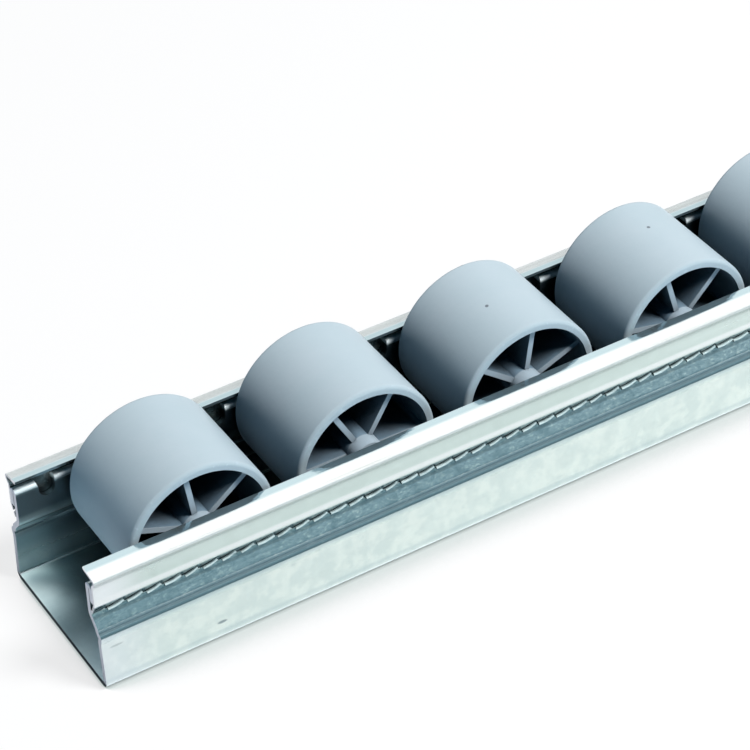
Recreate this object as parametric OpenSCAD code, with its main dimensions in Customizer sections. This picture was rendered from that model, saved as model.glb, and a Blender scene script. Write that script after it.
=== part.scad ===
// Flow rack roller track: a roll-formed channel with notched, hemmed edges, steel axles lying in the
// notches, ribbed plastic rollers on the axles, and a cap strip crimped over each edge.
// Millimetres. X runs along the track, Z is up, and the origin is under the middle of the track.

/* [Track] */
// Number of rollers
roller_count = 12; // [2:1:28]
// Distance from one axle to the next
roller_pitch = 33.6; // [30:0.1:60]
// Distance from each cut end to the nearest axle
end_margin = 22.7; // [16:0.1:60]

/* [Roller] */
// Diameter of the running face
roller_d = 28; // [20:0.5:29.5]
// Width across the rim
roller_w = 22; // [16:0.5:40]
// Rounding of the rim's outer edges
rim_round = 0.7; // [0.2:0.1:1.4]
// Rim wall at the open ends
rim_wall = 1.5; // [1:0.1:2.5]
// How much thicker the rim is at the web than at its ends
rim_draft = 0.3; // [0:0.1:1]
// Thickness of the web across the middle
web_t = 1.2; // [0.8:0.1:3]
// Number of ribs on each side of the web
rib_count = 6; // [3:1:10]
// Rib thickness
rib_t = 1; // [0.6:0.1:2]
// How far the ribs stop short of the rim's end
rib_recess = 1.6; // [0.2:0.1:5]
// Hub diameter
hub_d = 6.4; // [5:0.1:10]
// How far the hub stands out past the rim
hub_proud = 0.9; // [0.2:0.1:3]
// Chamfer at the mouth of the hub's bore
bore_chamfer = 0.3; // [0.1:0.1:0.6]

/* [Axle] */
// Axle diameter
axle_d = 3; // [2:0.1:4.2]
// Chamfer on the axle's ends
axle_chamfer = 0.3; // [0.1:0.1:0.8]

/* [Fits] */
// Radial clearance of the roller's bore on its axle
bore_clearance = 0.05; // [0.01:0.01:0.1]
// Radial clearance of the axle in its notch
notch_clearance = 0.05; // [0.02:0.01:0.3]
// Room for each roller to slide towards either wall
side_play = 1; // [0.3:0.1:3]
// Clearance between an axle's end and the cap strip
axle_end_gap = 0.1; // [0.05:0.05:0.5]
// Clearance between the channel's floor and the rollers
floor_gap = 5.6; // [2:0.1:15]

/* [Channel] */
// Sheet thickness
sheet_t = 1; // [0.6:0.1:1.5]
// Radius inside the ordinary bends
bend_r = 0.2; // [0.1:0.1:1]
// Radius inside the bends at the foot
foot_bend_r = 0.4; // [0.1:0.1:1.5]
// Radius inside the shoulder's bend
shoulder_bend_r = 0.55; // [0.1:0.05:0.7]
// How far the foot and the bead's crest stand out past the upper wall
joggle_w = 3.05; // [2.6:0.05:6]
// How far each lower wall leans in between the foot and the bead
wall_lean = 0.5; // [0:0.1:1.5]
// How far the bead's crest lies below the shoulder, where the upper wall begins
joggle_h = 3.6; // [3.2:0.1:6]
// Height of the stretch that turns out to the bead's crest
bead_h = 1.3; // [1:0.1:2.5]
// Width of the bead's sloping top
bead_w = 1; // [0.9:0.05:1.5]
// Height of the bead's sloping top
bead_top = 0.6; // [0.3:0.05:1]
// Height of the upright ledge above the bead
ledge_h = 0.65; // [0.6:0.05:1.2]
// Height of the upper wall between the shoulder and the cap strip's lip
neck_h = 0.8; // [0.7:0.05:3]
// How far the hem's top edge stands above the axles
axle_cover = 0.2; // [0.1:0.1:2]
// Height of the hem
hem_h = 4; // [3.4:0.1:6]
// Gap between the hem's two layers
hem_gap = 0.2; // [0.1:0.05:0.6]
// Length of the opening across the notches' mouth, beyond their width
notch_flare = 0.5; // [0:0.1:1]

/* [Cap strip] */
// Thickness of the strip
cap_t = 0.5; // [0.3:0.1:0.8]
// Height of the flange's outer corner above the hem
cap_rise = 2.05; // [1.6:0.05:5]
// How much higher the flange's free edge lies than its corner
flange_slope = 0.5; // [0:0.05:1.5]
// Width of the flange
flange_w = 4; // [2.5:0.1:4.2]
// How far the flange's corner stands out from the leg
cap_step = 0.85; // [0.3:0.05:2]
// Height of the step from the corner down to the leg
cap_step_h = 1.65; // [1.2:0.05:3]
// Radius inside the bends at the flange's corner and at the lip
cap_bend_r = 0.25; // [0.1:0.05:0.4]
// Radius inside the two bends of the step
step_bend_r = 0.15; // [0.05:0.05:0.2]
// How far below the hem's edge the lip turns in
lip_gap = 0.3; // [0.15:0.05:1]
// How far the crimped lip reaches in below the hem
lip_reach = 1.15; // [0.5:0.05:1.2]
// How far the lip drops on its way in
lip_drop = 2.2; // [1.6:0.1:2.6]
// Distance between the slanted cuts of the crimp
crimp_pitch = 3.6; // [3:0.1:8]
// Width of the crimp's cuts
crimp_w = 0.4; // [0.2:0.05:0.8]
// Slant of the crimp's cuts away from straight down the lip
crimp_slant = 58; // [20:1:62]
// Share of the lip left whole above the cuts
crimp_root = 0.2; // [0.1:0.05:0.5]

/* [Hidden] */
$fn = 96;
eps = 0.02;
overcut = 1;
arc_steps = 6;
// Share of the hem's width taken by each of the two bends at its top
fold_share = 0.49;

// Where each roller has come to rest: its turn on the axle, and its share of the side play
roller_turn = [38, 359, 22, 47, 12, 31, 5, 52, 17, 42, 27, 8];
roller_rest = [-0.8, 0.95, 0.4, -0.45, 0.2, 0.6, -0.6, -0.1, 0.8, -0.9, 0.3, -0.3];

track_l = (roller_count - 1) * roller_pitch + 2 * end_margin;
axle_z = sheet_t + floor_gap + roller_d / 2;

// Half widths of the section, from the middle outwards
throat_y = roller_w / 2 + hub_proud + side_play;
wall_y = throat_y + sheet_t / 2;
hem_y = wall_y + sheet_t + hem_gap;
hem_face_y = hem_y + sheet_t / 2;
foot_y = wall_y + joggle_w;

// Heights of the hem, and the section's bend radii along the middle of the sheet
hem_top = axle_z + axle_d / 2 + axle_cover;
hem_bottom = hem_top - hem_h;
lip_z = hem_bottom - lip_gap;
shoulder_z = lip_z - lip_drop - neck_h;
bead_z = shoulder_z - joggle_h;
mid_r = bend_r + sheet_t / 2;
hem_r = fold_share * (sheet_t + hem_gap);
foot_r = foot_bend_r + sheet_t / 2;
shoulder_r = shoulder_bend_r + sheet_t / 2;
cap_r = cap_bend_r + cap_t / 2;
step_r = step_bend_r + cap_t / 2;

notch_w = axle_d + 2 * notch_clearance;
notch_pitch = roller_pitch / 2;
axle_l = 2 * (hem_face_y - axle_end_gap);

// Middle of the cap strip's leg and corner
leg_y = hem_face_y + cap_t / 2;
corner_y = leg_y + cap_step;
corner_z = hem_top + cap_rise - cap_t / 2;

function serial(n) = str(n < 9 ? "0" : "", n + 1);
function axle_x(n) = (n - (roller_count - 1) / 2) * roller_pitch;

// Bent sheet: outline of a strip that follows a path of corners, with a bend radius at each corner

function polar(r, a) = [r * cos(a), r * sin(a)];
function heading(p, q) = atan2(q.y - p.y, q.x - p.x);
function wrap(a) = a > 180 ? a - 360 : a <= -180 ? a + 360 : a;

// Points of the bend at corner i, on the face that lies `shift` to the left of the path
function bend(path, radii, i, shift) =
    let (h = heading(path[i - 1], path[i]))
    let (turn = wrap(heading(path[i], path[i + 1]) - h))
    let (s = sign(turn))
    let (start = path[i] - polar(radii[i] * tan(abs(turn) / 2), h))
    let (centre = start + polar(radii[i], h + s * 90))
    [for (k = [0 : arc_steps]) centre + polar(radii[i] - s * shift, h - s * 90 + turn * k / arc_steps)];

function face_points(path, radii, shift) =
    let (last = len(path) - 1)
    concat(
        [path[0] + polar(shift, heading(path[0], path[1]) + 90)],
        [for (i = [1 : last - 1]) each bend(path, radii, i, shift)],
        [path[last] + polar(shift, heading(path[last - 1], path[last]) + 90)]
    );

function reversed(list) = [for (i = [len(list) - 1 : -1 : 0]) list[i]];

module bent_strip(path, radii, t) {
    polygon(concat(face_points(path, radii, t / 2), reversed(face_points(path, radii, -t / 2))));
}

// Draws a section of the track, given in Y and Z, along the whole track
module along_track(length) {
    translate([-length / 2, 0, 0])
        rotate([90, 0, 90])
            linear_extrude(length) children();
}

// Channel

half_path = [
    [foot_y, sheet_t / 2],
    [foot_y - wall_lean, bead_z - bead_h],
    [foot_y, bead_z],
    [foot_y - bead_w, bead_z + bead_top],
    [foot_y - bead_w, bead_z + bead_top + ledge_h],
    [wall_y, shoulder_z],
    [wall_y, hem_top - sheet_t / 2],
    [hem_y, hem_top - sheet_t / 2],
    [hem_y, hem_bottom]
];
half_radii = [foot_r, mid_r, mid_r, mid_r, mid_r, shoulder_r, hem_r, hem_r, 0];
channel_path = concat([for (p = reversed(half_path)) [-p.x, p.y]], half_path);
channel_radii = concat(reversed(half_radii), half_radii);

// Space that one punched slot leaves once the edge is folded over: a round-bottomed notch
module notch() {
    reach = hem_face_y + overcut;
    rotate([90, 0, 0]) {
        cylinder(d = notch_w, h = 2 * reach, center = true);
        linear_extrude(2 * reach, center = true)
            polygon([
                [-notch_w / 2, 0],
                [notch_w / 2, 0],
                [notch_w / 2, axle_d / 2 + axle_cover - sheet_t],
                [notch_w / 2 + notch_flare / 2, axle_d / 2 + axle_cover + eps],
                [-notch_w / 2 - notch_flare / 2, axle_d / 2 + axle_cover + eps],
                [-notch_w / 2, axle_d / 2 + axle_cover - sheet_t]
            ]);
    }
}

module channel() {
    first = axle_x(0) - notch_pitch;
    color("lightsteelblue")
        difference() {
            along_track(track_l) bent_strip(channel_path, channel_radii, sheet_t);
            for (k = [0 : 2 * roller_count]) translate([first + k * notch_pitch, 0, axle_z]) notch();
        }
}

// Cap strip, drawn for the +Y edge

cap_path = [
    [corner_y + cap_t / 2 - flange_w, corner_z + flange_slope],
    [corner_y, corner_z],
    [corner_y, corner_z - cap_step_h / 2],
    [leg_y, corner_z - cap_step_h],
    [leg_y, lip_z],
    [leg_y - lip_reach, lip_z - lip_drop]
];
cap_radii = [0, cap_r, step_r, step_r, cap_r, 0];

// One cut of the crimp, slanting down the lip from its bend and out through its edge
module crimp_cut() {
    lip_l = norm([lip_reach, lip_drop]);
    rotate([atan2(lip_drop, lip_reach) - 90, 0, 0])
        rotate([0, crimp_slant, 0])
            translate([-crimp_w / 2, -2 * cap_t, -2 * lip_l])
                cube([crimp_w, 4 * cap_t, 2 * lip_l - crimp_root * lip_l / cos(crimp_slant)]);
}

module cap_strip() {
    crimps = floor(track_l / crimp_pitch) - 1;
    color("gainsboro")
        difference() {
            along_track(track_l) bent_strip(cap_path, cap_radii, cap_t);
            for (k = [0 : crimps]) translate([(k - crimps / 2) * crimp_pitch, leg_y, lip_z]) crimp_cut();
        }
}

// Axle, lying across the track

module axle() {
    color("silver")
        rotate([90, 0, 0]) {
            cylinder(d = axle_d, h = axle_l - 2 * axle_chamfer, center = true);
            for (side = [0, 1])
                mirror([0, 0, side])
                    translate([0, 0, axle_l / 2 - axle_chamfer])
                        cylinder(d1 = axle_d, d2 = axle_d - 2 * axle_chamfer, h = axle_chamfer);
        }
}

// Roller, drawn about the Z axis and then laid across the track

rim_r = roller_d / 2;
hub_l = roller_w + 2 * hub_proud;
bore_r = axle_d / 2 + bore_clearance;

// Half of the rim's section from the web to one open end, with its outer edge rounded
module rim_half() {
    half = roller_w / 2;
    centre = [rim_r - rim_round, half - rim_round];
    polygon(concat(
        [[rim_r - rim_wall - rim_draft, -eps], [rim_r, -eps]],
        [for (k = [0 : arc_steps]) centre + polar(rim_round, 90 * k / arc_steps)],
        [[rim_r - rim_wall, half]]
    ));
}

module roller_body() {
    rotate_extrude() {
        rim_half();
        mirror([0, 1]) rim_half();
        translate([0, -web_t / 2]) square([rim_r - rim_wall, web_t]);
    }
    cylinder(d = hub_d, h = hub_l, center = true);
}

module ribs() {
    depth = roller_w - 2 * rib_recess;
    for (k = [0 : rib_count - 1])
        rotate([0, 0, k * 360 / rib_count])
            translate([0, -rib_t / 2, -depth / 2])
                cube([rim_r - rim_wall + eps, rib_t, depth]);
}

module bore() {
    cylinder(r = bore_r, h = hub_l + overcut, center = true);
    for (side = [0, 1])
        mirror([0, 0, side])
            translate([0, 0, hub_l / 2 - bore_chamfer])
                cylinder(r1 = bore_r, r2 = bore_r + bore_chamfer + eps, h = bore_chamfer + eps);
}

module roller(turn) {
    color("lightslategray")
        rotate([0, -turn, 0])
            rotate([90, 0, 0])
                difference() {
                    union() {
                        roller_body();
                        ribs();
                    }
                    bore();
                }
}

channel();
cap_strip();  // cap_strip_left
mirror([0, 1, 0]) cap_strip();  // cap_strip_right
for (n = [0 : roller_count - 1]) {
    translate([axle_x(n), 0, axle_z]) axle();
    translate([axle_x(n), side_play * roller_rest[n % len(roller_rest)], axle_z])
            roller(roller_turn[n % len(roller_turn)]);
}
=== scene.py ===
import bpy
import math
from mathutils import Matrix, Vector


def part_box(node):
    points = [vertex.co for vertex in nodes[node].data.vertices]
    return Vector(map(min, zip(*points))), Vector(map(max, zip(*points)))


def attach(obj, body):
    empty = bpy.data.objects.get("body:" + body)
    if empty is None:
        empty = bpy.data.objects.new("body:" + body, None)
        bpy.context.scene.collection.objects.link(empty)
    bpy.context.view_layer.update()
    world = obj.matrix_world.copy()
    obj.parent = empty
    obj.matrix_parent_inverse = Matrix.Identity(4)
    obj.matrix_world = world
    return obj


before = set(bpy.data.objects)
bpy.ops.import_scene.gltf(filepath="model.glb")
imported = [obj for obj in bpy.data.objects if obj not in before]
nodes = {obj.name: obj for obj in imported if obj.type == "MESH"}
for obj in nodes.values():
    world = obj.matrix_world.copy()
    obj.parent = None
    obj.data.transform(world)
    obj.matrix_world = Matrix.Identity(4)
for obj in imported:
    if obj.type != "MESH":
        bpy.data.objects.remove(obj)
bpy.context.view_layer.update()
print("frame loaded,", len(nodes), "nodes")

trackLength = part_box("channel")[1].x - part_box("channel")[0].x
rollerNames = sorted(name for name in nodes if name.startswith("roller_"))


# helpers for node trees

def addNode(tree, kind, inputs=None, **settings):
    node = tree.nodes.new(kind)
    for key, value in settings.items():
        setattr(node, key, value)
    for key, value in (inputs or {}).items():
        if isinstance(value, bpy.types.NodeSocket):
            tree.links.new(value, node.inputs[key])
        else:
            node.inputs[key].default_value = value
    return node


def newMaterial(name):
    material = bpy.data.materials.new(name)
    material.use_nodes = True
    material.node_tree.nodes.clear()
    return material, material.node_tree


def ramp(tree, factor, stops):
    node = addNode(tree, "ShaderNodeValToRGB", {"Fac": factor})
    elements = node.color_ramp.elements
    while len(elements) < len(stops):
        elements.new(0.5)
    for element, (position, colour) in zip(elements, stops):
        element.position = position
        element.color = (*colour, 1) if len(colour) == 3 else colour
    return node.outputs["Color"]


def grey(value):
    return (value, value, value)


def mixColour(tree, factor, a, b, blend="MIX"):
    node = addNode(tree, "ShaderNodeMix", data_type="RGBA", blend_type=blend)
    for index, value in ((0, factor), (6, a), (7, b)):
        if isinstance(value, bpy.types.NodeSocket):
            tree.links.new(value, node.inputs[index])
        elif index == 0:
            node.inputs[0].default_value = value
        else:
            node.inputs[index].default_value = (*value, 1)
    return node.outputs[2]


def maths(tree, operation, a, b=0.0, clamp=False):
    node = addNode(tree, "ShaderNodeMath", operation=operation, use_clamp=clamp)
    for index, value in enumerate((a, b)):
        if isinstance(value, bpy.types.NodeSocket):
            tree.links.new(value, node.inputs[index])
        else:
            node.inputs[index].default_value = value
    return node.outputs[0]


def times(tree, first, *others):
    for other in others:
        first = maths(tree, "MULTIPLY", first, other)
    return first


def placed(tree, location=(0, 0, 0), rotation=(0, 0, 0), scale=(1, 1, 1)):
    coordinates = addNode(tree, "ShaderNodeTexCoord").outputs["Object"]
    node = addNode(
        tree, "ShaderNodeMapping",
        {"Vector": coordinates, "Location": location, "Rotation": rotation, "Scale": scale})
    return node.outputs["Vector"]


def noise(tree, vector, scale, detail=3.0, roughness=0.55):
    node = addNode(
        tree, "ShaderNodeTexNoise",
        {"Vector": vector, "Scale": scale, "Detail": detail, "Roughness": roughness})
    return node.outputs["Fac"]


# distances from the middle of the track in millimetres, as X, Y and Z outputs
def millimetres(tree):
    return addNode(
        tree, "ShaderNodeSeparateXYZ", {"Vector": placed(tree, scale=(1000, 1000, 1000))}).outputs


def smoothStep(tree, value, low, high, first=0.0, last=1.0):
    node = addNode(
        tree, "ShaderNodeMapRange",
        {"Value": value, "From Min": low, "From Max": high, "To Min": first, "To Max": last},
        interpolation_type="SMOOTHSTEP")
    return node.outputs["Result"]


# 1 between low and high, fading over blur at each end
def band(tree, value, low, high, blur):
    rise = smoothStep(tree, value, low - blur, low + blur)
    fall = smoothStep(tree, value, high - blur, high + blur, 1.0, 0.0)
    return times(tree, rise, fall)


# 1 in the middle of an ellipsoid, 0 outside it; centre and radii in metres
def spot(tree, centre, radii):
    scale = [1 / radius for radius in radii]
    vector = placed(tree, location=[-c * k for c, k in zip(centre, scale)], scale=scale)
    length = addNode(tree, "ShaderNodeVectorMath", {0: vector}, operation="LENGTH").outputs["Value"]
    return smoothStep(tree, length, 0.55, 1.0, 1.0, 0.0)


# ambient occlusion turned into a colour ramp, used as painted shade
def occlusionShade(tree, distance, stops, local=False, samples=6):
    node = addNode(
        tree, "ShaderNodeAmbientOcclusion", {"Distance": distance}, samples=samples, only_local=local)
    return ramp(tree, node.outputs["AO"], stops)


# zinc-coated sheet; the masks' limits are millimetres of the track's own frame, and the scuff and nick metres

channelFinish = {
    "pale": (0.84, 0.93, 0.87),
    "dull": (0.68, 0.78, 0.74),
    "warm": (0.86, 0.93, 0.86),
    "stain": (0.30, 0.37, 0.38),
    "shadeLine": (0.10, 0.15, 0.17),
    "joggle": (0.37, 0.50, 0.54),
    "bead": (0.20, 0.31, 0.35),
    "inside": (0.52, 0.67, 0.70),
    "insideHigh": (0.26, 0.36, 0.41),
    "mouth": (0.80, 0.97, 0.98),
    "insideRough": 0.09,
    "hem": (0.88, 0.98, 0.99),
    "end": (0.84, 0.88, 0.93),
    "cutWall": (0.62, 0.64, 0.70),
    "cutFloor": (0.07, 0.09, 0.10),
    "hemMetal": 0.25,
    "endFlare": 0.12,
    "endRise": 0.26,
    "streakScale": (9, 150, 150),
    "roughness": (0.14, 0.26),
    "metallic": 0.88,
    "cutFrom": (207.44, 207.48),
    "cutFloorTop": (0.9, 1.2),
    "outsideFrom": (15.5, 15.8),
    "joggleLevel": (12.7, 15.8, 0.15),
    "joggleSide": (13.6, 13.8),
    "tongueShadowLevel": (14.35, 14.80, 0.12),
    "joggleTop": (14.8, 15.2),
    "beadLevel": (11.56, 12.75, 0.06),
    "upperCrease": (12.02, 12.35, 0.06),
    "lowerCrease": (11.60, 11.76, 0.05),
    "wallTop": (11.6, 11.5),
    "greyUnderBead": (10.2, 11.5),
    "greyOverFoot": (1.4, 2.3, 0.4),
    "footBend": (0.60, 1.05, 0.12),
    "endFrom": (194.0, 207.0),
    "hemLevel": (21.4, 21.9),
    "hemSide": (12.6, 12.8),
    "upperWall": (16.4, 21.3, 0.5),
    "mouthFrom": (199.0, 206.0),
    "mouthAcross": (-1.0, 10.0),
    "mouthLevel": (3.5, 1.3),
    "ledgeLevel": (12.8, 15.8, 0.8),
    "lowWallLevel": (2.5, 11.5, 1.2),
    "flareFrom": (194.0, 205.0),
    "flareLevel": (14.0, 12.0),
    "flareAcross": (-4.0, 7.0),
    "scuff": ((-0.1849, -0.0166, 0.0039), (0.0012, 0.0012, 0.0004)),
    "nick": ((-0.2047, -0.0166, 0.0088), (0.0016, 0.0012, 0.0003)),
}
capFinish = {
    "pale": (0.93, 0.95, 0.94),
    "dull": (0.80, 0.84, 0.82),
    "stain": (0.48, 0.51, 0.49),
    "leg": (0.79, 0.88, 0.84),
    "end": (0.97, 0.98, 1.0),
    "innerReflection": (0.46, 0.58, 0.61),
    "shaded": (0.30, 0.34, 0.33),
    "lipShadowAndSpots": (0.10, 0.15, 0.16),
    "lip": (0.80, 0.93, 0.94),
    "lipShade": (0.45, 0.58, 0.60),
    "rolled": 0.22,
    "cut": (0.70, 0.71, 0.76),
    "streakScale": (11, 190, 190),
    "roughness": (0.16, 0.28),
    "metallic": 0.88,
    "tongueMetallic": 0.35,
    "cutFrom": (207.44, 207.48),
    "legTop": (23.9, 23.5),
    "endFrom": (196.0, 206.0),
    "underFlange": (21.6, 22.9),
    "lowerBend": (18.2, 19.2, 0.3),
    "lipTop": (17.9, 17.3),
    "innerSide": (14.4, 13.5),
    "innerLevel": (23.4, 23.6),
    "glossSide": (13.6, 14.2),
    "cornerSide": (15.8, 16.2),
    "cornerLevel": (23.2, 23.6),
    "rolledSide": (13.9, 15.9, 0.3),
    "rolledFrom": (15.9, 16.2),
    "rolledLevel": (23.6, 23.8),
}


# streaks, patches, spangle, specks and fine scratches of a rolled and zinc-coated sheet
def sheetPattern(tree, finish):
    streaks = noise(tree, placed(tree, scale=finish["streakScale"]), 1.0, 5.0, 0.6)
    patches = noise(tree, placed(tree), 75.0, 3.0)
    smears = noise(tree, placed(tree, location=(0.4, 0.2, 0.1), scale=(0.6, 1, 1.6)), 210.0, 5.0, 0.65)
    spangle = addNode(
        tree, "ShaderNodeTexVoronoi", {"Vector": placed(tree), "Scale": 420.0, "Randomness": 1.0})
    fine = noise(tree, placed(tree, scale=(40, 900, 900)), 1.0, 2.0)
    grains = noise(tree, placed(tree), 1500.0, 2.0)
    tone = ramp(tree, streaks, [(0.30, finish["dull"]), (0.60, finish["pale"])])
    tone = mixColour(tree, times(tree, patches, 0.45), tone, finish["dull"])
    tone = mixColour(tree, ramp(tree, smears, [(0.56, grey(0)), (0.74, grey(0.55))]), tone, finish["dull"])
    cells = ramp(tree, spangle.outputs["Color"], [(0.0, grey(0.94)), (1.0, grey(1.0))])
    tone = mixColour(tree, 1.0, tone, cells, "MULTIPLY")
    specks = ramp(
        tree, noise(tree, placed(tree, location=(0.31, 0.17, 0.05)), 260.0, 4.0, 0.7),
        [(0.69, grey(0)), (0.75, grey(1))])
    tone = mixColour(tree, times(tree, specks, 0.6), tone, finish["stain"])
    scratches = ramp(
        tree, noise(tree, placed(tree, rotation=(0.5, 0.35, 0.2), scale=(30, 1100, 1100)), 1.0, 2.0),
        [(0.72, grey(0)), (0.77, grey(1))])
    tone = mixColour(tree, times(tree, scratches, 0.35), tone, finish["stain"])
    low, high = finish["roughness"]
    gloss = maths(tree, "ADD", times(tree, streaks, high - low), low)
    gloss = maths(tree, "ADD", gloss, times(tree, smears, 0.08))
    height = maths(
        tree, "ADD", times(tree, fine, 0.4), maths(tree, "ADD", patches, times(tree, grains, 0.15)))
    return tone, gloss, height


# lean adds to the normal, for an edge that is rolled a little further than the sheet beside it
def zincShader(tree, metallic, tone, gloss, height, lean=None):
    normal = addNode(
        tree, "ShaderNodeBump", {"Height": height, "Strength": 0.25, "Distance": 0.0003}).outputs["Normal"]
    if lean is not None:
        leaned = addNode(tree, "ShaderNodeVectorMath", {0: normal, 1: lean}, operation="ADD").outputs[0]
        normal = addNode(tree, "ShaderNodeVectorMath", {0: leaned}, operation="NORMALIZE").outputs[0]
    shader = addNode(
        tree, "ShaderNodeBsdfPrincipled",
        {"Base Color": tone, "Metallic": metallic, "Roughness": gloss, "Normal": normal})
    addNode(tree, "ShaderNodeOutputMaterial", {"Surface": shader.outputs["BSDF"]})


def channelMaterial(name, finish):
    material, tree = newMaterial(name)
    tone, gloss, height = sheetPattern(tree, finish)
    x, y, z = millimetres(tree)
    side = maths(tree, "ABSOLUTE", y)
    outside = smoothStep(tree, side, *finish["outsideFrom"])
    # the joggle between the shoulder and the bead takes the handling marks
    marks = noise(tree, placed(tree, rotation=(0, 0.45, 0), scale=(0.55, 1, 1)), 1700.0, 3.5, 0.75)
    blots = noise(tree, placed(tree, location=(0.2, 0.8, 0.4)), 330.0, 3.0, 0.6)
    joggle = times(
        tree, band(tree, z, *finish["joggleLevel"]), smoothStep(tree, side, *finish["joggleSide"]))
    marked = mixColour(
        tree, ramp(tree, marks, [(0.53, grey(0)), (0.66, grey(0.55))]), finish["joggle"], finish["pale"])
    marked = mixColour(
        tree, ramp(tree, marks, [(0.33, grey(0.6)), (0.45, grey(0))]), marked, finish["bead"])
    marked = mixColour(
        tree, ramp(tree, blots, [(0.34, grey(0.5)), (0.50, grey(0))]), marked, finish["bead"])
    # a painted shadow line a little below the crimp tongues, and painted light on the joggle's top that
    # lightens their shade
    marked = mixColour(tree, times(tree, band(tree, z, *finish["tongueShadowLevel"]), 0.45), marked, finish["shadeLine"])
    marked = mixColour(
        tree, times(tree, smoothStep(tree, z, *finish["joggleTop"]), 0.5), marked, finish["pale"])
    tone = mixColour(tree, joggle, tone, marked)
    # the bead under it is painted dark, standing in for the dark reflection it shows, with a painted shade
    # line along each of its bends
    wander = times(tree, noise(tree, placed(tree, scale=(60, 60, 60)), 1.0, 3.0), 0.16)
    level = maths(tree, "ADD", z, maths(tree, "SUBTRACT", wander, 0.08))
    bead = times(tree, band(tree, level, *finish["beadLevel"]), outside)
    tone = mixColour(
        tree, bead, tone,
        mixColour(
            tree, ramp(tree, marks, [(0.55, grey(0)), (0.68, grey(0.5))]), finish["bead"],
            finish["joggle"]))
    crease = maths(
        tree, "ADD", band(tree, level, *finish["upperCrease"]), band(tree, level, *finish["lowerCrease"]),
        clamp=True)
    crease = times(tree, crease, outside)
    tone = mixColour(tree, times(tree, crease, 0.6), tone, finish["shadeLine"])
    gloss = maths(tree, "ADD", gloss, times(tree, bead, 0.15))
    # bare steel where the track is cut to length, much darker along the floor than up the walls
    cut = smoothStep(tree, maths(tree, "ABSOLUTE", x), *finish["cutFrom"])
    bare = mixColour(
        tree, smoothStep(tree, z, *finish["cutFloorTop"]), finish["cutFloor"], finish["cutWall"])
    # the lower wall: greyer under the bead and above the foot, a painted highlight along the foot's bend,
    # clouded between
    wall = times(tree, smoothStep(tree, z, *finish["wallTop"]), outside)
    clouds = noise(tree, placed(tree, location=(0.5, 0.6, 0.3), scale=(1, 1, 0.8)), 320.0, 4.0, 0.6)
    tone = mixColour(
        tree, times(tree, wall, ramp(tree, clouds, [(0.42, grey(0)), (0.56, grey(0.75))])), tone,
        finish["dull"])
    warm = noise(tree, placed(tree, location=(0.1, 0.9, 0.7)), 340.0, 5.0, 0.65)
    tone = mixColour(
        tree, times(tree, wall, ramp(tree, warm, [(0.46, grey(0)), (0.60, grey(0.6))])), tone,
        finish["warm"])
    greyer = maths(
        tree, "ADD", times(tree, smoothStep(tree, z, *finish["greyUnderBead"]), 0.5),
        times(tree, band(tree, z, *finish["greyOverFoot"]), 0.30), clamp=True)
    tone = mixColour(tree, times(tree, wall, greyer), tone, finish["joggle"])
    tone = mixColour(tree, times(tree, wall, band(tree, z, *finish["footBend"])), tone, finish["hem"])
    atEnd = smoothStep(tree, maths(tree, "ABSOLUTE", x), *finish["endFrom"])
    tone = mixColour(tree, times(tree, wall, atEnd, 0.4), tone, finish["end"])
    for place, strength in (("scuff", 0.95), ("nick", 0.45)):
        tone = mixColour(tree, times(tree, spot(tree, *finish[place]), strength), tone, finish["stain"])
    # the inside is painted darker as shade, darker still on its walls, with painted shade where things stand
    # over it, painted light on the inner ledge and at the cut ends, and it flares a little at the cut ends
    hem = times(tree, smoothStep(tree, z, *finish["hemLevel"]), smoothStep(tree, side, *finish["hemSide"]))
    hidden = maths(
        tree, "SUBTRACT", 1.0, maths(tree, "MAXIMUM", maths(tree, "MAXIMUM", outside, joggle), hem),
        clamp=True)
    tone = mixColour(
        tree, hidden, tone,
        mixColour(
            tree, band(tree, z, *finish["upperWall"]),
            mixColour(tree, clouds, finish["inside"], finish["joggle"]), finish["insideHigh"]))
    mouth = times(
        tree, smoothStep(tree, maths(tree, "ABSOLUTE", x), *finish["mouthFrom"]),
        smoothStep(tree, y, *finish["mouthAcross"]))
    mouth = times(tree, mouth, smoothStep(tree, z, *finish["mouthLevel"]), hidden)
    ledgeLight = times(tree, band(tree, z, *finish["ledgeLevel"]), hidden, 0.95)
    lowWall = times(tree, band(tree, z, *finish["lowWallLevel"]), hidden, 0.40)
    tone = mixColour(tree, lowWall, tone, finish["insideHigh"])
    tone = mixColour(tree, maths(tree, "MAXIMUM", mouth, ledgeLight), tone, finish["mouth"])
    gloss = maths(tree, "ADD", gloss, times(tree, hidden, finish["insideRough"]))
    shade = occlusionShade(tree, 0.022, [(0.12, grey(0.04)), (0.60, grey(1.0))])
    shaded = maths(tree, "SUBTRACT", hidden, times(tree, mouth, 0.8), clamp=True)
    tone = mixColour(tree, shaded, tone, mixColour(tree, 1.0, tone, shade, "MULTIPLY"))
    # a painted highlight on the hem's top, which is also made less metallic
    tone = mixColour(tree, hem, tone, finish["hem"])
    metal = maths(
        tree, "SUBTRACT", finish["metallic"], times(tree, hem, finish["metallic"] - finish["hemMetal"]))
    flare = times(
        tree, smoothStep(tree, maths(tree, "ABSOLUTE", x), *finish["flareFrom"]), maths(tree, "SIGN", x))
    flare = times(tree, flare, smoothStep(tree, z, *finish["flareLevel"]), finish["endFlare"])
    flare = times(tree, flare, hidden, smoothStep(tree, y, *finish["flareAcross"]))
    rise = times(tree, mouth, -finish["endRise"])
    lean = addNode(tree, "ShaderNodeCombineXYZ", {"X": flare, "Y": rise}).outputs[0]
    tone = mixColour(tree, cut, tone, bare)
    gloss = maths(tree, "ADD", gloss, times(tree, cut, 0.3))
    zincShader(tree, metal, tone, gloss, height, lean)
    return material


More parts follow.
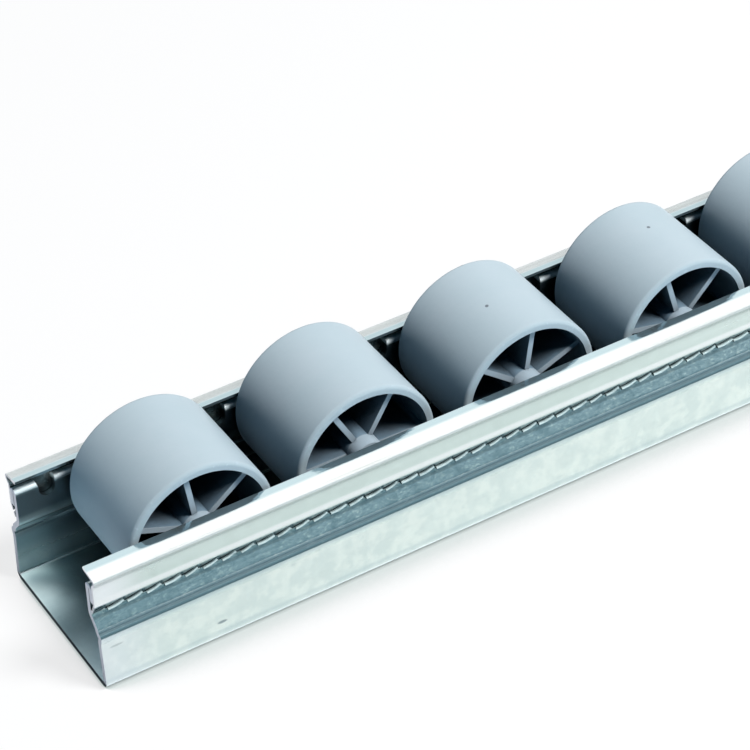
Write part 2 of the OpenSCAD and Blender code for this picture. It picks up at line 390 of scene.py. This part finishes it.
def capMaterial(name, finish):
    material, tree = newMaterial(name)
    tone, gloss, height = sheetPattern(tree, finish)
    x, y, z = millimetres(tree)
    side = maths(tree, "ABSOLUTE", y)
    # the upright leg is painted darker and greener than the flange, as shade of its side, and lighter towards
    # the cut ends
    leg = smoothStep(tree, z, *finish["legTop"])
    tone = mixColour(tree, leg, tone, mixColour(tree, 1.0, tone, finish["leg"], "MULTIPLY"))
    atEnd = smoothStep(tree, maths(tree, "ABSOLUTE", x), *finish["endFrom"])
    tone = mixColour(tree, times(tree, leg, atEnd, 0.7), tone, finish["end"])
    # painted shade below the flange, a painted highlight along the lower bend, and painted shade over the lip
    # under it, uneven along its edge
    under = times(tree, leg, smoothStep(tree, z, *finish["underFlange"], 0.0, 0.50))
    tone = mixColour(tree, under, tone, finish["shaded"])
    tone = mixColour(tree, times(tree, band(tree, z, *finish["lowerBend"]), 0.75), tone, finish["pale"])
    ragged = smoothStep(tree, noise(tree, placed(tree), 420.0, 2.0), 0.30, 0.55, 0.65, 1.0)
    tone = mixColour(
        tree, times(tree, smoothStep(tree, z, *finish["lipTop"]), ragged), tone, finish["lipShadowAndSpots"])
    # a painted dark reflection along the flange's inner edge
    innerReflection = times(
        tree, smoothStep(tree, side, *finish["innerSide"]), smoothStep(tree, z, *finish["innerLevel"]))
    tone = mixColour(tree, innerReflection, tone, finish["innerReflection"])
    gloss = times(tree, gloss, smoothStep(tree, side, *finish["glossSide"], 0.40, 1.0))
    gloss = maths(
        tree, "ADD", gloss,
        times(
            tree, smoothStep(tree, side, *finish["cornerSide"]),
            smoothStep(tree, z, *finish["cornerLevel"]), 0.2))
    cut = smoothStep(tree, maths(tree, "ABSOLUTE", x), *finish["cutFrom"])
    # painted shade in close corners
    shade = occlusionShade(tree, 0.004, [(0.15, grey(0.25)), (0.60, grey(1.0))])
    tone = mixColour(tree, 1.0, tone, shade, "MULTIPLY")
    tone = mixColour(tree, cut, tone, finish["cut"])
    rolled = maths(
        tree, "SUBTRACT", band(tree, side, *finish["rolledSide"]),
        times(tree, smoothStep(tree, side, *finish["rolledFrom"]), 1.8))
    rolled = times(tree, rolled, smoothStep(tree, z, *finish["rolledLevel"]))
    rolled = times(tree, rolled, finish["rolled"], maths(tree, "SIGN", y))
    lean = addNode(tree, "ShaderNodeCombineXYZ", {"Y": rolled}).outputs[0]
    zincShader(tree, finish["metallic"], tone, gloss, height, lean)
    return material


# the twisted tongues of the cap's crimped lip catch the light on their crests, with dark spots at random and
# painted shade where they sit close to the sheet
def tongueMaterial(name, finish):
    material, tree = newMaterial(name)
    tone, gloss, height = sheetPattern(tree, finish)
    tone = mixColour(
        tree, ramp(tree, noise(tree, placed(tree), 700.0, 3.0), [(0.35, grey(0.3)), (0.50, grey(0))]), tone,
        finish["lipShadowAndSpots"])
    shade = occlusionShade(tree, 0.002, [(0.20, finish["lipShade"]), (0.60, finish["lip"])])
    tone = mixColour(tree, 1.0, tone, shade, "MULTIPLY")
    zincShader(tree, finish["tongueMetallic"], tone, gloss, height)
    return material


# drawn steel of the axles

axleFinish = {
    "bright": (0.62, 0.63, 0.64), "dark": (0.42, 0.43, 0.45), "ringScale": 1800.0, "metallic": 0.95}


def axleMaterial(name, finish):
    material, tree = newMaterial(name)
    rings = noise(tree, placed(tree, scale=(60, finish["ringScale"], 60)), 1.0, 3.0)
    tone = ramp(tree, rings, [(0.3, finish["dark"]), (0.7, finish["bright"])])
    gloss = maths(tree, "ADD", times(tree, rings, 0.2), 0.22)
    bump = addNode(tree, "ShaderNodeBump", {"Height": rings, "Strength": 0.2, "Distance": 0.0001})
    shader = addNode(
        tree, "ShaderNodeBsdfPrincipled",
        {
            "Base Color": tone, "Metallic": finish["metallic"], "Roughness": gloss,
            "Normal": bump.outputs["Normal"]})
    addNode(tree, "ShaderNodeOutputMaterial", {"Surface": shader.outputs["BSDF"]})
    return material


# moulded plastic of the rollers, one material each, centred on its own roller

rollerFinish = {
    "tread": (0.50, 0.61, 0.66),
    "rubbed": (0.56, 0.65, 0.70),
    "rim": (0.41, 0.50, 0.54),
    "mouth": (0.23, 0.34, 0.43),
    "ribEdgeHighlight": (0.44, 0.54, 0.61),
    "deep": (0.09, 0.13, 0.17),
    "grime": (0.12, 0.13, 0.14),
    "radius": 0.014,
    "roughness": 0.42,
    "gateMark": (0.16, 0.19, 0.22),
    "gateSize": 0.00042,
    "bounceLoss": 0.95,
    "treadFrom": [(0.80, grey(0)), (0.93, grey(1))],
    "rimDepth": (10.2, 10.9),
    "mouthDepth": (3.0, 9.6),
    "ribEdgeDepth": (9.1, 9.35),
}
# where each roller's gate mark has come to rest: its turn from the top and its place across the tread
gateTurn = [151, 118, -11.9, 3.3, 96, -140, 64, -75, 170, 35, -28, 127]
gateAcross = [0.002, -0.003, -0.0015, 0.0023, 0.001, -0.002, 0.003, -0.001, 0.002, -0.0025, 0.0015, 0.0]


def rollerMaterial(name, finish, centre, seed, gate):
    material, tree = newMaterial(name)
    local = placed(tree, location=(-centre.x, -centre.y, -centre.z))
    parts = addNode(tree, "ShaderNodeSeparateXYZ", {"Vector": local})
    radius = maths(
        tree, "SQRT",
        maths(
            tree, "ADD", times(tree, parts.outputs["X"], parts.outputs["X"]),
            times(tree, parts.outputs["Z"], parts.outputs["Z"])))
    depth = times(tree, maths(tree, "ABSOLUTE", parts.outputs["Y"]), 1000.0)
    outer = ramp(tree, maths(tree, "DIVIDE", radius, finish["radius"]), finish["treadFrom"])
    shifted = placed(tree, location=(seed * 1.7, seed * 0.9, seed * 2.3))
    rubs = noise(tree, shifted, 90.0, 4.0, 0.6)
    rings = noise(tree, placed(tree, location=(0, seed, 0), scale=(4, 1500, 4)), 1.0, 3.0)
    tone = mixColour(
        tree, ramp(tree, rubs, [(0.40, grey(0)), (0.75, grey(0.7))]), finish["tread"], finish["rubbed"])
    tone = mixColour(tree, times(tree, rings, 0.18), tone, finish["rubbed"])
    nicks = ramp(tree, noise(tree, shifted, 700.0, 3.0, 0.7), [(0.60, grey(0)), (0.72, grey(1))])
    # the rim's face is painted darker than the tread as shade, with lighter nicks
    rimFace = smoothStep(tree, depth, *finish["rimDepth"])
    tone = mixColour(
        tree, times(tree, rimFace, 0.8), tone, mixColour(tree, nicks, finish["rim"], finish["rubbed"]))
    gatePlace = (
        centre.x + finish["radius"] * math.sin(math.radians(gate[0])), centre.y + gate[1],
        centre.z + finish["radius"] * math.cos(math.radians(gate[0])))
    mark = spot(tree, gatePlace, [finish["gateSize"]] * 3)
    tone = mixColour(tree, mark, tone, finish["gateMark"])
    # inside the roller: painted shade deepening with depth and in close corners, dust, and a painted
    # highlight on the ribs' front edges
    dust = ramp(tree, noise(tree, shifted, 240.0, 3.0), [(0.45, grey(0)), (0.8, grey(0.5))])
    core = mixColour(tree, smoothStep(tree, depth, *finish["mouthDepth"]), finish["deep"], finish["mouth"])
    core = mixColour(tree, dust, core, finish["grime"])
    core = mixColour(tree, smoothStep(tree, depth, *finish["ribEdgeDepth"]), core, finish["ribEdgeHighlight"])
    shade = occlusionShade(tree, 0.009, [(0.25, grey(0.12)), (0.85, grey(1.0))], local=True)
    core = mixColour(tree, 1.0, core, shade, "MULTIPLY")
    tone = mixColour(tree, outer, core, tone)
    # light that a roller scatters on is dimmed, which keeps the gaps between the rollers dark
    bounce = addNode(tree, "ShaderNodeLightPath").outputs["Is Diffuse Ray"]
    tone = mixColour(tree, times(tree, bounce, finish["bounceLoss"]), tone, finish["deep"])
    gloss = maths(tree, "ADD", times(tree, rubs, 0.2), finish["roughness"] - 0.1)
    height = maths(tree, "ADD", times(tree, rings, 0.5), noise(tree, shifted, 900.0, 2.0))
    height = maths(tree, "SUBTRACT", height, times(tree, mark, 2.0))
    bump = addNode(tree, "ShaderNodeBump", {"Height": height, "Strength": 0.12, "Distance": 0.0002})
    shader = addNode(
        tree, "ShaderNodeBsdfPrincipled",
        {"Base Color": tone, "Roughness": gloss, "Normal": bump.outputs["Normal"]})
    addNode(tree, "ShaderNodeOutputMaterial", {"Surface": shader.outputs["BSDF"]})
    return material


def dress(name, material):
    slots = nodes[name].data.materials
    if len(slots):
        for index in range(len(slots)):
            slots[index] = material
    else:
        slots.append(material)


channelZinc = channelMaterial("channelZinc", channelFinish)
capZinc = capMaterial("capZinc", capFinish)
tongueZinc = tongueMaterial("tongueZinc", capFinish)
axleSteel = axleMaterial("axleSteel", axleFinish)
for name in nodes:
    if name == "channel":
        dress(name, channelZinc)
    elif name.startswith("cap_strip"):
        dress(name, capZinc)
    elif name.startswith("axle"):
        dress(name, axleSteel)
for index, name in enumerate(rollerNames):
    low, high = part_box(name)
    dress(
        name,
        rollerMaterial(
            "rollerPlastic" + name[-2:], rollerFinish, (low + high) / 2, 0.37 * (index + 1),
            (gateTurn[index], gateAcross[index])))
print("materials assigned")


# tongues of the crimped lip, twisted out between its slanted cuts

crimpTongue = {
    "pitch": 0.0036,
    "length": 0.0031,
    "height": 0.00086,
    "depth": 0.0005,
    "sag": 0.00022,
    "tilt": 15.0,
    "across": 0.0148,
    "level": 0.01620,
    "endMargin": 0.0016,
    "uneven": 0.13,
    "spineSteps": 7,
    "ringSteps": 6,
    "seed": 7,
}


def tongueTree():
    tree = bpy.data.node_groups.new("crimpTongues", "GeometryNodeTree")
    tree.is_modifier = True
    sockets = [
        ("Count", "NodeSocketInt"), ("Pitch", "NodeSocketFloat"), ("Length", "NodeSocketFloat"),
        ("Height", "NodeSocketFloat"), ("Depth", "NodeSocketFloat"), ("Sag", "NodeSocketFloat"),
        ("Tilt", "NodeSocketFloat"), ("Start", "NodeSocketVector"), ("Seed", "NodeSocketInt"),
        ("Material", "NodeSocketMaterial"),
    ]
    for name, kind in sockets:
        tree.interface.new_socket(name, in_out="INPUT", socket_type=kind)
    tree.interface.new_socket("Geometry", in_out="OUTPUT", socket_type="NodeSocketGeometry")
    given = tree.nodes.new("NodeGroupInput").outputs
    step = addNode(tree, "ShaderNodeCombineXYZ", {"X": given["Pitch"]}).outputs[0]
    row = addNode(
        tree, "GeometryNodeMeshLine",
        {"Count": given["Count"], "Start Location": given["Start"], "Offset": step}, mode="OFFSET")
    half = times(tree, given["Length"], 0.5)
    first = addNode(tree, "ShaderNodeCombineXYZ", {"X": times(tree, half, -1.0)}).outputs[0]
    last = addNode(tree, "ShaderNodeCombineXYZ", {"X": half}).outputs[0]
    spine = addNode(tree, "GeometryNodeCurvePrimitiveLine", {"Start": first, "End": last})
    spine = addNode(
        tree, "GeometryNodeResampleCurve",
        {"Curve": spine.outputs["Curve"], "Count": crimpTongue["spineSteps"]})
    along = addNode(tree, "GeometryNodeSplineParameter").outputs["Factor"]
    swell = maths(tree, "SINE", times(tree, maths(tree, "POWER", along, 1.4), math.pi))
    sag = times(tree, maths(tree, "SINE", times(tree, along, math.pi)), given["Sag"])
    drop = addNode(tree, "ShaderNodeCombineXYZ", {"Z": times(tree, sag, -1.0)}).outputs[0]
    spine = addNode(tree, "GeometryNodeSetPosition", {"Geometry": spine.outputs["Curve"], "Offset": drop})
    spine = addNode(
        tree, "GeometryNodeSetCurveRadius", {"Curve": spine.outputs["Geometry"], "Radius": swell})
    ring = addNode(
        tree, "GeometryNodeCurvePrimitiveCircle", {"Resolution": crimpTongue["ringSteps"], "Radius": 0.5})
    ring = addNode(
        tree, "GeometryNodeTransform",
        {
            "Geometry": ring.outputs["Curve"],
            "Scale": addNode(
                tree, "ShaderNodeCombineXYZ",
                {"X": given["Height"], "Y": given["Depth"], "Z": 1.0}).outputs[0]})
    blade = addNode(
        tree, "GeometryNodeCurveToMesh",
        {"Curve": spine.outputs["Curve"], "Profile Curve": ring.outputs["Geometry"]})
    blade = addNode(
        tree, "GeometryNodeMergeByDistance", {"Geometry": blade.outputs["Mesh"], "Distance": 0.000004})
    uneven = addNode(tree, "FunctionNodeRandomValue", {"Seed": given["Seed"]}, data_type="FLOAT")
    uneven.inputs[2].default_value = -crimpTongue["uneven"]
    uneven.inputs[3].default_value = crimpTongue["uneven"]
    lift = maths(tree, "SUBTRACT", uneven.outputs[1], given["Tilt"])
    turn = addNode(tree, "ShaderNodeCombineXYZ", {"Y": lift}).outputs[0]
    size = maths(tree, "ADD", times(tree, uneven.outputs[1], 1.2), 0.95)
    copies = addNode(
        tree, "GeometryNodeInstanceOnPoints",
        {
            "Points": row.outputs["Mesh"], "Instance": blade.outputs["Geometry"], "Rotation": turn,
            "Scale": size})
    whole = addNode(tree, "GeometryNodeRealizeInstances", {"Geometry": copies.outputs["Instances"]})
    whole = addNode(tree, "GeometryNodeSetShadeSmooth", {"Geometry": whole.outputs["Geometry"]})
    whole = addNode(
        tree, "GeometryNodeSetMaterial",
        {"Geometry": whole.outputs["Geometry"], "Material": given["Material"]})
    end = tree.nodes.new("NodeGroupOutput")
    tree.links.new(whole.outputs["Geometry"], end.inputs["Geometry"])
    return tree


def makeTongues(name, side, tree, material):
    mesh = bpy.data.meshes.new(name)
    piece = bpy.data.objects.new(name, mesh)
    bpy.context.scene.collection.objects.link(piece)
    room = trackLength - 2 * crimpTongue["endMargin"] - crimpTongue["length"]
    count = int(room / crimpTongue["pitch"]) + 1
    values = {
        "Count": count,
        "Pitch": crimpTongue["pitch"],
        "Length": crimpTongue["length"],
        "Height": crimpTongue["height"],
        "Depth": crimpTongue["depth"],
        "Sag": crimpTongue["sag"],
        "Tilt": math.radians(crimpTongue["tilt"]),
        "Start": (
            -(count - 1) * crimpTongue["pitch"] / 2, side * crimpTongue["across"], crimpTongue["level"]),
        "Seed": crimpTongue["seed"] + int(side),
        "Material": material,
    }
    modifier = piece.modifiers.new("tongues", "NODES")
    modifier.node_group = tree
    for item in tree.interface.items_tree:
        if item.in_out == "INPUT":
            modifier[item.identifier] = values[item.name]
    finished = bpy.data.meshes.new_from_object(piece.evaluated_get(bpy.context.evaluated_depsgraph_get()))
    piece.modifiers.remove(modifier)
    piece.data = finished
    finished.name = name
    bpy.data.meshes.remove(mesh)
    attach(piece, "track")
    return piece


tongues = tongueTree()
for name, side in (("crimpTongues_left", 1), ("crimpTongues_right", -1)):
    piece = makeTongues(name, side, tongues, tongueZinc)
    print(name, len(piece.data.polygons), "faces")


# floor, light, world and camera

studio = {
    "floorSize": 6.0,
    "floorDrop": 0.0002,
    "floor": 0.86,
    "floorBounce": (0.62, 0.84, 0.98),
    "floorSeen": (0.20, 0.81),
    "floorMirrored": 0.04,
    "floorShade": [(0.30, (0.38, 0.43, 0.42)), (0.50, (0.57, 0.65, 0.63)), (0.555, (0.64, 0.70, 0.68)),
                   (0.58, (0.84, 0.86, 0.86)), (0.60, grey(0.94)), (0.66, grey(1.0))],
    "keyPlace": (0.34, -0.60, 1.16),
    "keySize": 0.45,
    "keyPower": 23.0,
    "ambient": (0.0, 0.030, 0.062),
    "mirroredDepth": [(0.13, (0.26, 0.37, 0.40)), (0.20, (0.70, 0.76, 0.78)), (0.32, grey(1.0))],
    "mirroredHeight": [(0.0, (0.50, 0.52, 0.53)), (0.20, (0.74, 0.76, 0.77)),
                       (0.42, (0.80, 0.82, 0.83)), (0.75, grey(1.0))],
    "mirroredTop": 1.40,
}


def makeFloor():
    size = studio["floorSize"]
    mesh = bpy.data.meshes.new("floor")
    mesh.from_pydata(
        [(-size, -size, 0), (size, -size, 0), (size, size, 0), (-size, size, 0)], [], [(0, 1, 2, 3)])
    floor = bpy.data.objects.new("floor", mesh)
    bpy.context.scene.collection.objects.link(floor)
    floor.location.z = -studio["floorDrop"]
    material, tree = newMaterial("floorPaper")
    tint = ramp(
        tree, noise(tree, placed(tree), 3.0),
        [(0.3, grey(studio["floor"] - 0.01)), (0.7, grey(studio["floor"]))])
    rays = addNode(tree, "ShaderNodeLightPath")
    tint = mixColour(tree, rays.outputs["Is Diffuse Ray"], tint, studio["floorBounce"])
    paper = addNode(tree, "ShaderNodeBsdfDiffuse", {"Color": tint})
    mirrored = times(tree, rays.outputs["Is Glossy Ray"], studio["floorMirrored"])
    unseen = addNode(
        tree, "ShaderNodeAddShader",
        {0: paper.outputs[0], 1: addNode(tree, "ShaderNodeEmission", {"Strength": mirrored}).outputs[0]})
    lit, glow = studio["floorSeen"]
    # a painted contact shadow: the glow the camera sees is dimmed where ambient occlusion finds the track
    # near
    contactShadow = occlusionShade(tree, 0.03, studio["floorShade"], samples=24)
    white = addNode(tree, "ShaderNodeEmission", {"Color": contactShadow, "Strength": glow})
    seen = addNode(
        tree, "ShaderNodeAddShader",
        {
            0: addNode(tree, "ShaderNodeBsdfDiffuse", {"Color": grey(lit) + (1,)}).outputs[0],
            1: white.outputs[0]})
    both = addNode(
        tree, "ShaderNodeMixShader",
        {0: rays.outputs["Is Camera Ray"], 1: unseen.outputs[0], 2: seen.outputs[0]})
    addNode(tree, "ShaderNodeOutputMaterial", {"Surface": both.outputs[0]})
    mesh.materials.append(material)


def areaLight(name, place, size, power):
    data = bpy.data.lights.new(name, "AREA")
    data.shape = "DISK"
    data.size = size
    data.energy = power
    lamp = bpy.data.objects.new(name, data)
    lamp.visible_glossy = False  # the sheet mirrors the studio, not the lamp
    bpy.context.scene.collection.objects.link(lamp)
    lamp.location = place
    lamp.rotation_euler = (-Vector(place)).to_track_quat("-Z", "Y").to_euler()


def makeWorld():
    world = bpy.data.worlds.new("studio")
    bpy.context.scene.world = world
    world.use_nodes = True
    tree = world.node_tree
    tree.nodes.clear()
    direction = addNode(tree, "ShaderNodeTexCoord").outputs["Generated"]
    parts = addNode(tree, "ShaderNodeSeparateXYZ", {"Vector": direction})
    depth = maths(tree, "ADD", times(tree, parts.outputs["Y"], 0.5), 0.5)
    mirrored = mixColour(
        tree, 1.0, ramp(tree, depth, studio["mirroredDepth"]),
        ramp(tree, parts.outputs["Z"], studio["mirroredHeight"]), "MULTIPLY")
    mirrored = mixColour(tree, 1.0, mirrored, grey(studio["mirroredTop"]), "MULTIPLY")
    rays = addNode(tree, "ShaderNodeLightPath")
    # light that has scattered off something dull isn't mirrored again
    direct = times(
        tree, rays.outputs["Is Glossy Ray"], maths(tree, "LESS_THAN", rays.outputs["Diffuse Depth"], 0.5))
    colour = mixColour(tree, direct, studio["ambient"], mirrored)
    colour = mixColour(tree, rays.outputs["Is Camera Ray"], colour, (1, 1, 1))
    back = addNode(tree, "ShaderNodeBackground", {"Color": colour, "Strength": 1.0})
    addNode(tree, "ShaderNodeOutputWorld", {"Surface": back.outputs[0]})


cameraView = {
    "place": (-0.34200, -0.33403, 0.34373),
    "right": (0.84934, -0.52735, -0.02311),
    "forward": (0.39700, 0.66703, -0.63044),
    "lens": 137.43,
    "sensor": 36.0,
    "clip": (0.02, 50.0),
}


def makeCamera():
    data = bpy.data.cameras.new("camera")
    data.lens = cameraView["lens"]
    data.sensor_width = cameraView["sensor"]
    data.clip_start, data.clip_end = cameraView["clip"]
    camera = bpy.data.objects.new("camera", data)
    bpy.context.scene.collection.objects.link(camera)
    forward = Vector(cameraView["forward"]).normalized()
    right = Vector(cameraView["right"])
    right = (right - forward * right.dot(forward)).normalized()
    up = right.cross(forward)
    turn = Matrix((right, up, -forward)).transposed()
    camera.matrix_world = Matrix.Translation(cameraView["place"]) @ turn.to_4x4()
    bpy.context.scene.camera = camera


makeFloor()
areaLight("keyLight", studio["keyPlace"], studio["keySize"], studio["keyPower"])
makeWorld()
makeCamera()
bpy.context.scene.view_settings.view_transform = "Standard"
print("floor, lights and camera ready")
